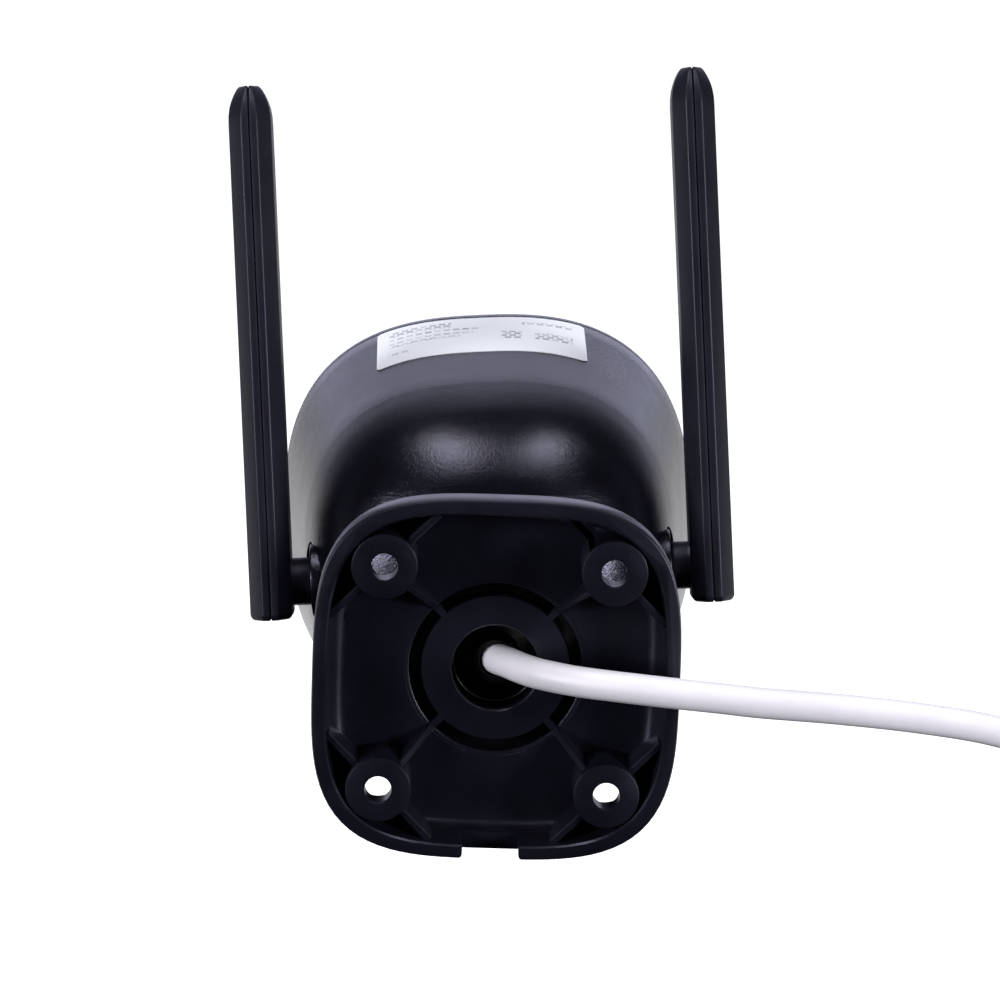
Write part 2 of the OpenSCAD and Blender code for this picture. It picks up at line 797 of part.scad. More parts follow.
module antenna_hinge(side) {
    hx = antenna_t / 2;
    color(soft_black) on_hinge(side) difference() {
        union() {
            cross_rod(pad_x + 0.05 - antenna_x, -hx, hinge_barrel_d);
            cross_rod(28 - antenna_x, -1.9, hinge_pin_d);
            cross_rod(-hx + 1.3, -1.9, 9);
        }
        cross_rod(27 - antenna_x, 0, 2.4);
    }
}

module antenna_nut(side) {
    color(steel) on_hinge(side) difference() {
        cross_rod(30.4 - antenna_x, nut_seat_x - 0.1 - antenna_x, 10);
        cross_rod(29 - antenna_x, nut_seat_x + 1 - antenna_x, hinge_pin_d);
    }
}

module antenna_board(side) {
    hz = antenna_w / 2 - 1.3;
    color(green) on_hinge(side) block([-0.4, 10, -hz], [0.4, 88, hz]);
}

module antenna_outer_l() { antenna_outer(1); }
module antenna_inner_l() { antenna_inner(1); }
module antenna_hinge_l() { antenna_hinge(1); }
module antenna_nut_l() { antenna_nut(1); }
module antenna_board_l() { antenna_board(1); }
module antenna_outer_r() { antenna_outer(-1); }
module antenna_inner_r() { antenna_inner(-1); }
module antenna_hinge_r() { antenna_hinge(-1); }
module antenna_nut_r() { antenna_nut(-1); }
module antenna_board_r() { antenna_board(-1); }

module cable_main() {
    color(white) tube(main_route, cable_d, 10);
}

// The moulded block where the main cable divides into two tails.
module cable_splitter() {
    color(white) translate([-128, 15, -138]) difference() {
        union() {
            linear_extrude(height = 20) square([15, 8.6], center = true);
            translate([0, 0, 19]) cylinder(h = 7, d = 8.6);
        }
        translate([0, 0, 24]) cylinder(h = 3, d = cable_d + 0.2);
    }
}

module network_tail() {
    color(white) tube(network_route, network_d, 8);
}

module network_socket() {
    color(white) translate([-138, 15, -216]) difference() {
        union() {
            block([-8, -7.5, 0], [8, 7.5, 24]);
            translate([0, 0, 23.5]) cylinder(h = 6.5, d = 8);
        }
        block([-6, -4.5, -1], [6, 3.5, 14]);
        block([-3, 3, -1], [3, 5.6, 12]);
    }
}

module network_contacts() {
    color([0.85, 0.7, 0.3]) translate([-138, 15, -216])
        for (x = [-3.5:1:3.5]) block([x - 0.2, -4.5, 2], [x + 0.2, -3.9, 14]);
}

module power_tail() {
    color(white) tube(power_route, power_d, 8);
}

module power_socket() {
    color(black) translate([-118, 15, -208]) difference() {
        union() {
            cylinder(h = 24, d = 10.4);
            translate([0, 0, 23.5]) cylinder(h = 6.5, d = 6.6);
        }
        translate([0, 0, -1]) cylinder(h = 12, d = 5.6);
    }
}

module power_pin() {
    color(steel) translate([-118, 15, -208]) {
        translate([0, 0, 1]) cylinder(h = 10, d = 2.1);
    }
}

base_plate();
cable_grommet();
turntable();
pan_lock_ring();
knuckle_arm();
tilt_bolt();
tilt_nut();
roll_lock_ring();
roll_retainer();
rear_housing();
front_bezel();
front_window();
window_gasket();
optics_chassis();
chassis_screws();
lens_barrel();
lens_elements();
lens_holder();
ir_cut_filter();
image_sensor();
sensor_board();
led_board();
ir_leds();
spot_leds();
light_sensor();
microphone();
main_board();
board_screws();
main_chips();
shield_can();
heat_sink();
board_standoffs();
speaker();
io_board();
card_socket();
reset_button();
card_cover();
cover_seal();
cover_screws();
rating_label();
antenna_outer_l();
antenna_inner_l();
antenna_hinge_l();
antenna_nut_l();
antenna_board_l();
antenna_outer_r();
antenna_inner_r();
antenna_hinge_r();
antenna_nut_r();
antenna_board_r();
cable_main();
cable_splitter();
network_tail();
network_socket();
network_contacts();
power_tail();
power_socket();
power_pin();
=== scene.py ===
import json
import math

import bmesh
import bpy
from mathutils import Matrix, Vector


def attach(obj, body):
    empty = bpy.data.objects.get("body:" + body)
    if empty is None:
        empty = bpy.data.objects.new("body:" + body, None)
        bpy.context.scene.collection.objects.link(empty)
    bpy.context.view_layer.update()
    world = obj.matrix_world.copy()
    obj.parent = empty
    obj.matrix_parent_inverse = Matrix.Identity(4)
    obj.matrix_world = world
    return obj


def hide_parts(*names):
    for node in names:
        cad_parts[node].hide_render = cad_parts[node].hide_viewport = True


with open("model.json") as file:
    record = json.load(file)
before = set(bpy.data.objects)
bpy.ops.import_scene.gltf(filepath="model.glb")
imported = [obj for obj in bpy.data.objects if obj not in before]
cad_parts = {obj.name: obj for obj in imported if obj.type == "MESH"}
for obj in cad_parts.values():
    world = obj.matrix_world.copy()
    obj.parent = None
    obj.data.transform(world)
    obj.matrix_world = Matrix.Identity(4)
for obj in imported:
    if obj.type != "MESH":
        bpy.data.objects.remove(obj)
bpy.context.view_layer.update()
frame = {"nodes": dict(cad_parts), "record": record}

mm = 0.001
headRoll = math.radians(4.3)  # how far the housing is turned on its arm at rest
hingeDepth = 89.3  # antenna hinges, measured from the wall
antennaLean = math.radians(10)
print("frame loaded", len(frame["nodes"]), "nodes")

# Camera: behind the base, a little above and to the left of the pan axis.
viewpoint = {
    "place": (16.7, 839.2, 215.4),
    "down": 12.16,
    "turn": -1.11,
    "roll": 1.99,
    "lens": 168.6,
}


def addCamera(setup):
    down, turn, roll = (math.radians(setup[k]) for k in ("down", "turn", "roll"))
    ahead = Vector((math.sin(turn) * math.cos(down), -math.cos(turn) * math.cos(down), -math.sin(down)))
    right = ahead.cross(Vector((0, 0, 1))).normalized()
    up = right.cross(ahead)
    across = right * math.cos(roll) + up * math.sin(roll)
    above = up * math.cos(roll) - right * math.sin(roll)
    bpy.ops.object.camera_add()
    cam = bpy.context.object
    cam.name = "viewCamera"
    turned = Matrix((across, above, -ahead)).transposed().to_4x4()
    cam.matrix_world = Matrix.Translation(Vector(setup["place"]) * mm) @ turned
    cam.data.lens = setup["lens"]
    cam.data.sensor_width = 36
    cam.data.clip_end = 30
    bpy.context.scene.camera = cam


addCamera(viewpoint)


def clearSelection():
    if bpy.context.object and bpy.context.object.mode != "OBJECT":
        bpy.ops.object.mode_set(mode="OBJECT")
    bpy.ops.object.select_all(action="DESELECT")


def makeActive(obj):
    clearSelection()
    obj.select_set(True)
    bpy.context.view_layer.objects.active = obj


def applyModifiers(obj):
    makeActive(obj)
    for item in list(obj.modifiers):
        bpy.ops.object.modifier_apply(modifier=item.name)


def fixNormals(obj, merge=0.000002):
    makeActive(obj)
    bpy.ops.object.mode_set(mode="EDIT")
    bpy.ops.mesh.select_all(action="SELECT")
    bpy.ops.mesh.remove_doubles(threshold=merge)
    bpy.ops.mesh.normals_make_consistent(inside=False)
    bpy.ops.object.mode_set(mode="OBJECT")


def smoothShade(obj, angle=32):
    makeActive(obj)
    bpy.ops.object.shade_smooth_by_angle(angle=math.radians(angle))


def addBevel(obj, width, segments=2, limit=35):
    item = obj.modifiers.new("edgeRound", "BEVEL")
    item.width = width * mm
    item.segments = segments
    item.limit_method = "ANGLE"
    item.angle_limit = math.radians(limit)
    item.use_clamp_overlap = True
    item.harden_normals = False
    applyModifiers(obj)


def combine(target, tool, how="DIFFERENCE"):
    item = target.modifiers.new("shape", "BOOLEAN")
    item.operation = how
    item.solver = "EXACT"
    item.object = tool
    applyModifiers(target)
    bpy.data.objects.remove(tool, do_unlink=True)


def joinPieces(first, others):
    clearSelection()
    for other in others:
        other.select_set(True)
    first.select_set(True)
    bpy.context.view_layer.objects.active = first
    bpy.ops.object.join()
    return first


def placeMesh(obj, matrix):
    makeActive(obj)
    obj.matrix_world = matrix @ obj.matrix_world
    bpy.ops.object.transform_apply(location=True, rotation=True, scale=True)


def rollWithHead(obj):
    placeMesh(obj, Matrix.Rotation(headRoll, 4, "Y"))


def outlineRadius(angle, a, b, n):
    c, s = abs(math.cos(angle)), abs(math.sin(angle))
    return ((c / a) ** n + (s / b) ** n) ** (-1 / n)


# Rings are (depth from the wall, half width, half height, squareness), in millimetres.
def stackRings(name, rings, steps=96, closed=False):
    clearSelection()
    bpy.ops.mesh.primitive_circle_add(vertices=steps, radius=0.01)
    obj = bpy.context.object
    obj.name = name
    bpy.ops.object.mode_set(mode="EDIT")
    bpy.ops.mesh.select_all(action="SELECT")
    work = bmesh.from_edit_mesh(obj.data)
    work.verts.ensure_lookup_table()
    angles = {v.index: math.atan2(v.co.y, v.co.x) for v in work.verts}
    for v in work.verts:
        setOnRing(v, angles[v.index], rings[0])
    for ring in rings[1:]:
        bpy.ops.mesh.extrude_region_move()
        work = bmesh.from_edit_mesh(obj.data)
        for v in work.verts:
            if v.select:
                setOnRing(v, math.atan2(v.co.z, v.co.x), ring)
    if closed:
        bmesh.update_edit_mesh(obj.data)
        bpy.ops.mesh.select_all(action="DESELECT")
        bpy.ops.mesh.select_non_manifold()
        bpy.ops.mesh.bridge_edge_loops()
    else:
        bpy.ops.mesh.edge_face_add()
        bpy.ops.mesh.select_all(action="DESELECT")
        bpy.ops.mesh.select_non_manifold()
        bpy.ops.mesh.edge_face_add()
    bpy.ops.object.mode_set(mode="OBJECT")
    fixNormals(obj)
    return obj


def setOnRing(v, angle, ring):
    depth, a, b, n = ring
    r = outlineRadius(angle, a, b, n) * mm
    v.co = (r * math.cos(angle), -depth * mm, r * math.sin(angle))


def roundRings(profile):
    return [(depth, r, r, 2) for depth, r in profile]


# A smooth run of rings through a few given ones.
def flowRings(rings, between=4):
    out = []
    for k in range(len(rings) - 1):
        p0, p1, p2, p3 = rings[max(k - 1, 0)], rings[k], rings[k + 1], rings[min(k + 2, len(rings) - 1)]
        for step in range(between):
            t = step / between
            out.append(tuple(
                0.5 * (2 * b + (c - a) * t + (2 * a - 5 * b + 4 * c - d) * t * t + (3 * b - a - 3 * c + d) * t ** 3)
                for a, b, c, d in zip(p0, p1, p2, p3)))
    out.append(rings[-1])
    return out


def addRod(name, start, end, radius, steps=48, bevel=0):
    start, end = Vector(start) * mm, Vector(end) * mm
    along = end - start
    clearSelection()
    bpy.ops.mesh.primitive_cylinder_add(
        vertices=steps, radius=radius * mm, depth=along.length, location=(start + end) / 2,
        rotation=along.to_track_quat("Z", "Y").to_euler())
    obj = bpy.context.object
    obj.name = name
    bpy.ops.object.transform_apply(location=True, rotation=True, scale=True)
    if bevel:
        addBevel(obj, bevel, 2, 60)
    return obj


def addBlock(name, low, high, bevel=0, segments=2):
    low, high = Vector(low) * mm, Vector(high) * mm
    clearSelection()
    bpy.ops.mesh.primitive_cube_add(size=1, location=(low + high) / 2, scale=high - low)
    obj = bpy.context.object
    obj.name = name
    bpy.ops.object.transform_apply(location=True, rotation=True, scale=True)
    if bevel:
        addBevel(obj, bevel, segments)
    return obj


def hexToLinear(code):
    parts = [int(code[i:i + 2], 16) / 255 for i in (1, 3, 5)]
    return [p / 12.92 if p <= 0.04045 else ((p + 0.055) / 1.055) ** 2.4 for p in parts] + [1]


def addNode(tree, kind, values=None, links=None, **settings):
    node = tree.nodes.new(kind)
    for name, value in settings.items():
        setattr(node, name, value)
    for key, value in (values or {}).items():
        node.inputs[key].default_value = value
    for key, source in (links or {}).items():
        tree.links.new(source, node.inputs[key])
    return node


def startMaterial(name):
    material = bpy.data.materials.new(name)
    material.use_nodes = True
    material.node_tree.nodes.clear()
    return material, material.node_tree


# One recipe for moulded and cast surfaces: two tones, a fine grain and a gentle larger unevenness.
def grainedMaterial(name, dark, light, rough, roughSpread, grainMm, grainDepth, waveMm=9, metallic=0.0,
                    ior=1.5, coat=0.0, sub=0.0, gleam=(1, 1, 1, 1)):
    material, tree = startMaterial(name)
    coords = addNode(tree, "ShaderNodeTexCoord").outputs["Object"]
    grain = addNode(tree, "ShaderNodeTexNoise", {"Scale": 1 / (grainMm * mm), "Detail": 3, "Roughness": 0.6},
                    {"Vector": coords})
    wave = addNode(tree, "ShaderNodeTexNoise", {"Scale": 1 / (waveMm * mm), "Detail": 4, "Roughness": 0.55},
                   {"Vector": coords})
    tone = addNode(tree, "ShaderNodeValToRGB", links={"Fac": wave.outputs["Fac"]})
    tone.color_ramp.elements[0].position = 0.3
    tone.color_ramp.elements[1].position = 0.7
    tone.color_ramp.elements[0].color = hexToLinear(dark)
    tone.color_ramp.elements[1].color = hexToLinear(light)
    gloss = addNode(tree, "ShaderNodeMapRange", {"From Min": 0.3, "From Max": 0.7, "To Min": rough - roughSpread,
                                                 "To Max": rough + roughSpread}, {"Value": wave.outputs["Fac"]})
    bump = addNode(tree, "ShaderNodeBump", {"Strength": 1.0, "Distance": grainDepth * mm},
                   {"Height": grain.outputs["Fac"]})
    shader = addNode(tree, "ShaderNodeBsdfPrincipled",
                     {"Metallic": metallic, "IOR": ior, "Coat Weight": coat, "Subsurface Weight": sub,
                      "Specular Tint": gleam},
                     {"Base Color": tone.outputs["Color"], "Roughness": gloss.outputs["Result"],
                      "Normal": bump.outputs["Normal"]})
    if sub:
        shader.inputs["Subsurface Radius"].default_value = (1.0, 1.0, 1.0)
        shader.inputs["Subsurface Scale"].default_value = 0.0006
    addNode(tree, "ShaderNodeOutputMaterial", links={"Surface": shader.outputs["BSDF"]})
    return material


bluish = (0.76, 0.77, 1, 1)  # the black pigment gives its sheen a blue cast
# ABS moulded in a spark-eroded tool: fine sandy grain, wide soft highlights. Drawn coarser, at 0.45 mm, to show.
sparkAbs = grainedMaterial("sparkAbs", "#08080d", "#0c0c13", 0.21, 0.02, 0.45, 0.085, gleam=bluish)
# Polypropylene from a plain tool: waxy, smoother, faint flow marks.
plainPolypropylene = grainedMaterial("plainPolypropylene", "#0c0c14", "#11111b", 0.34, 0.05, 0.7, 0.006, 14,
                                     gleam=bluish)
# ABS with a fine satin finish on the antennas.
satinAbs = grainedMaterial("satinAbs", "#16161e", "#1b1b24", 0.42, 0.04, 0.35, 0.010, 12, ior=1.36, gleam=bluish)
# Acetal bearing piece: smooth, with a slight slip sheen, and made very dark so the groove in front of it reads black:
# painted shade.
smoothAcetal = grainedMaterial("smoothAcetal", "#040406", "#070709", 0.2, 0.04, 0.5, 0.003)
# Matt black moulding inside the housing.
mattAbs = grainedMaterial("mattAbs", "#0b0b0d", "#101012", 0.6, 0.05, 0.4, 0.012)
# Moulded rubber with a smooth, almost wet skin, made near-black so the hub hole around the cable reads black: painted
# shade.
softRubber = grainedMaterial("softRubber", "#040405", "#070708", 0.3, 0.05, 0.5, 0.01)
# Silicone cord in a grey tone, slightly waxy.
greySilicone = grainedMaterial("greySilicone", "#6b6b6e", "#77777a", 0.55, 0.05, 0.5, 0.006)
# Zinc plate on steel: pale bluish metal with faint clouding.
zincSteel = grainedMaterial("zincSteel", "#b9bcc2", "#cfd1d4", 0.34, 0.08, 0.5, 0.004, 3, 1.0)
# Tinned sheet: soft bright metal.
tinnedSheet = grainedMaterial("tinnedSheet", "#c4c6c8", "#d6d7d8", 0.3, 0.06, 0.8, 0.003, 4, 1.0)
# Extruded aluminium with a dull skin.
plainAluminium = grainedMaterial("plainAluminium", "#b7b9bc", "#c9cacc", 0.42, 0.06, 0.4, 0.006, 5, 1.0)
# Warm turned metal.
turnedBrass = grainedMaterial("turnedBrass", "#c79a4a", "#d8ac5a", 0.28, 0.05, 0.3, 0.004, 4, 1.0)
# Bright spring contacts.
goldFlash = grainedMaterial("goldFlash", "#d8a946", "#e6bb5c", 0.22, 0.04, 0.3, 0.002, 3, 1.0)
# PVC cable sheath: clean white, satin, with a barely uneven skin.
whitePvc = grainedMaterial("whitePvc", "#e4e2e8", "#efedf2", 0.42, 0.05, 1.2, 0.010, 20, sub=0.15)
whiteMoulding = grainedMaterial("whiteMoulding", "#dfdfe3", "#ebebef", 0.32, 0.04, 0.8, 0.006, 10)  # moulded PVC ends
blackMoulding = grainedMaterial("blackMoulding", "#0c0c0d", "#121214", 0.3, 0.04, 0.8, 0.006, 10)
epoxyPackage = grainedMaterial("epoxyPackage", "#141416", "#1c1c1e", 0.55, 0.06, 0.2, 0.006, 3)  # chip packages
ceramicPackage = grainedMaterial("ceramicPackage", "#4a4a50", "#5a5a60", 0.35, 0.05, 0.2, 0.003, 3)
# Dark tinted epoxy of the infrared LED domes: glassy.
darkEpoxy = grainedMaterial("darkEpoxy", "#120c1c", "#1c1428", 0.12, 0.03, 0.6, 0.001, 3, coat=0.3)
phosphorCup = grainedMaterial("phosphorCup", "#d9c766", "#efe08a", 0.25, 0.05, 0.5, 0.002, 2)  # white LED and its cup
acetalGrey = grainedMaterial("acetalGrey", "#b8b8bb", "#c4c4c7", 0.4, 0.05, 0.4, 0.003, 3)


# Solder mask over copper: green lacquer with slightly lighter tracks underneath.
def circuitMaterial():
    material, tree = startMaterial("solderMask")
    coords = addNode(tree, "ShaderNodeTexCoord").outputs["Object"]
    tracks = addNode(tree, "ShaderNodeTexBrick", {"Scale": 1 / (6 * mm), "Mortar Size": 0.02,
                                                  "Color1": hexToLinear("#0d3a22"), "Color2": hexToLinear("#0f4528"),
                                                  "Mortar": hexToLinear("#1b6a3e")}, {"Vector": coords})
    cloud = addNode(tree, "ShaderNodeTexNoise", {"Scale": 1 / (2 * mm), "Detail": 2}, {"Vector": coords})
    bump = addNode(tree, "ShaderNodeBump", {"Strength": 0.4, "Distance": 0.01 * mm},
                   {"Height": cloud.outputs["Fac"]})
    shader = addNode(tree, "ShaderNodeBsdfPrincipled", {"Roughness": 0.3},
                     {"Base Color": tracks.outputs["Color"], "Normal": bump.outputs["Normal"]})
    addNode(tree, "ShaderNodeOutputMaterial", links={"Surface": shader.outputs["BSDF"]})
    return material


# Clear parts: the tint is in the colour, the shine in the IOR.
def clearMaterial(name, tint, rough, ior):
    material, tree = startMaterial(name)
    coords = addNode(tree, "ShaderNodeTexCoord").outputs["Object"]
    haze = addNode(tree, "ShaderNodeTexNoise", {"Scale": 1 / (8 * mm), "Detail": 2}, {"Vector": coords})
    gloss = addNode(tree, "ShaderNodeMapRange", {"To Min": rough, "To Max": rough + 0.03},
                    {"Value": haze.outputs["Fac"]})
    shader = addNode(tree, "ShaderNodeBsdfPrincipled",
                     {"Base Color": hexToLinear(tint), "Transmission Weight": 1.0, "IOR": ior},
                     {"Roughness": gloss.outputs["Result"]})
    addNode(tree, "ShaderNodeOutputMaterial", links={"Surface": shader.outputs["BSDF"]})
    return material


solderMask = circuitMaterial()
smokedAcrylic = clearMaterial("smokedAcrylic", "#55555e", 0.02, 1.49)  # front window, dark but see-through
coatedGlass = clearMaterial("coatedGlass", "#b8c4e0", 0.0, 1.6)  # lens elements with a blue coating
filterGlass = clearMaterial("filterGlass", "#c06a80", 0.02, 1.52)  # infrared cut filter, pinkish

slotMaterials = {
    "base_black": plainPolypropylene, "housing_black": sparkAbs, "antenna_black": satinAbs, "chassis_black": mattAbs,
    "rubber_black": softRubber, "seal_grey": greySilicone, "screw_steel": zincSteel, "shield_steel": tinnedSheet,
    "sink_aluminium": plainAluminium, "standoff_brass": turnedBrass, "contact_gold": goldFlash,
    "window_glass": smokedAcrylic, "lens_glass": coatedGlass, "filter_glass": filterGlass, "led_dark": darkEpoxy,
    "led_yellow": phosphorCup, "chip_black": epoxyPackage, "chip_ceramic": ceramicPackage,
    "circuit_green": solderMask, "button_grey": acetalGrey, "cable_white": whitePvc, "socket_white": whiteMoulding,
    "socket_black": blackMoulding,
}
slotOf = {s["node"]: s["material_slot"] for s in frame["record"]["subparts"]}
bodyOf = {n: b for b, names in frame["record"]["behaviour"]["bodies"].items() for n in names}


def dress(obj, material):
    obj.data.materials.clear()
    obj.data.materials.append(material)


def finishPiece(obj, nodes, material=None, angle=32):
    slot = slotOf[nodes[0]]
    dress(obj, material or slotMaterials[slot])
    if angle:
        smoothShade(obj, angle)
    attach(obj, bodyOf[nodes[0]])
    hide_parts(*nodes)
    return obj


# Routes as across, towards the wall and up, in millimetres.
cableSetup = {
    "main": {"name": "mainCable", "node": "cable_main", "across": 5.8, "points": [
        (0, -25, 0), (0, -21.5, 0), (-0.1, -18, 0.2), (-0.8, -14.6, 0.7), (-2.3, -11, 1.1), (-4.5, -7, 1.2),
        (-7.3, -3.4, 1.2), (-10.6, -0.7, 1.2), (-14.6, 1.9, 1.2), (-19.2, 4, 1.2), (-26.3, 6.6, 1.2), (-33.8, 9.2, 1.2),
        (-41, 11.4, 1.2), (-48.5, 13.1, 1), (-62, 14.3, 0.6), (-77, 14.4, -0.6), (-91, 14.4, -2.6),
        (-104, 14.2, -6.6), (-114, 14.3, -13.6), (-121, 14.4, -23), (-125, 14.5, -35), (-127, 14.6, -49),
        (-128, 14.7, -64), (-128, 14.8, -80), (-128, 14.9, -96), (-128, 15, -112)]},
    "network": {"name": "networkTail", "node": "network_tail", "across": 4.6, "points": [
        (-132, 15, -138), (-133, 15, -148), (-135, 15, -159), (-137, 15, -172), (-138, 15, -186)]},
    "power": {"name": "powerTail", "node": "power_tail", "across": 3.6, "points": [
        (-124, 15, -138), (-122.6, 15, -148), (-120.4, 15, -158), (-118.6, 15, -168), (-118, 15, -178)]},
}


def addCable(setup):
    clearSelection()
    path = flowRings(setup["points"], 6)
    curve = bpy.data.curves.new(setup["name"], "CURVE")
    curve.dimensions = "3D"
    curve.bevel_depth = setup["across"] / 2 * mm
    curve.bevel_resolution = 6
    curve.use_fill_caps = True
    line = curve.splines.new("POLY")
    line.points.add(len(path) - 1)
    for point, place in zip(line.points, path):
        point.co = (place[0] * mm, place[1] * mm, place[2] * mm, 1)
    line.use_smooth = True
    obj = bpy.data.objects.new(setup["name"], curve)
    bpy.context.scene.collection.objects.link(obj)
    curve.materials.append(whitePvc)
    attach(obj, "base")
    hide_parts(setup["node"])
    setup["length"] = sum((Vector(b) - Vector(a)).length for a, b in zip(path, path[1:])) * mm
    return obj


cables = {key: addCable(setup) for key, setup in cableSetup.items()}
print("cables", {k: round(v["length"], 4) for k, v in cableSetup.items()})


# A copy of a CAD piece with its edges rounded, for hard parts whose shape is already right.
def roundedCopy(name, nodes, width, segments=2, limit=40, material=None, angle=35):
    copies = []
    for node in nodes:
        source = frame["nodes"][node]
        copy = source.copy()
        copy.data = source.data.copy()
        copy.parent = None
        for key in list(copy.keys()):
            if key.startswith("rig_"):
                del copy[key]
        bpy.context.scene.collection.objects.link(copy)
        copy.matrix_world = Matrix.Identity(4)
        copies.append(copy)
    obj = joinPieces(copies[0], copies[1:]) if len(copies) > 1 else copies[0]
    obj.name = name
    obj.data.name = name
    makeActive(obj)
    bpy.ops.object.mode_set(mode="EDIT")
    bpy.ops.mesh.select_all(action="SELECT")
    bpy.ops.mesh.remove_doubles(threshold=0.000002)
    bpy.ops.mesh.dissolve_limited(angle_limit=math.radians(1))
    bpy.ops.object.mode_set(mode="OBJECT")
    if width:
        addBevel(obj, width, segments, limit)
    return finishPiece(obj, nodes, material, angle)


def sortPair(one, other):
    return tuple(min(a, b) for a, b in zip(one, other)), tuple(max(a, b) for a, b in zip(one, other))


def duplicate(obj):
    copy = obj.copy()
    copy.data = obj.data.copy()
    bpy.context.scene.collection.objects.link(copy)
    return copy


def stackAt(rings, x, z, steps):
    obj = stackRings("cutter", rings, steps)
    placeMesh(obj, Matrix.Translation((x * mm, 0, z * mm)))
    return obj


baseSetup = {
    "half": 34.1, "square": 3.45, "rim": 2.6, "floor": 11, "depth": 13, "pitch": 42.5, "bossRadius": 6.15,
    "holeRadius": 2.5, "counterRadius": 4.7, "land": 4.5, "hubRadius": 8.15, "ringRadius": 13.9,
    "grooveRadius": 16.6, "rib": 1.3, "notch": 10.5, "notchDepth": 7, "upstand": 22, "flange": 20.05,
    "tries": 8, "nudge": 0.05,
}
# Faint ejector discs and plain rings left in the moulding, as across, up and radius.
mouldDiscs = [(26.1, 9.0, 2.5), (-25.1, -10.7, 2.5), (25.4, -10.2, 2.4), (-25.6, 9.4, 2.4),
              (8.1, 8.1, 1.7), (-8.1, 8.1, 1.7), (8.1, -8.1, 1.7), (-8.1, -8.1, 1.7)]
bossDiscs = [(24.45, 24.4, 1.2)]
mouldRings = [(7.6, 18.2), (-7.5, 18.5)]


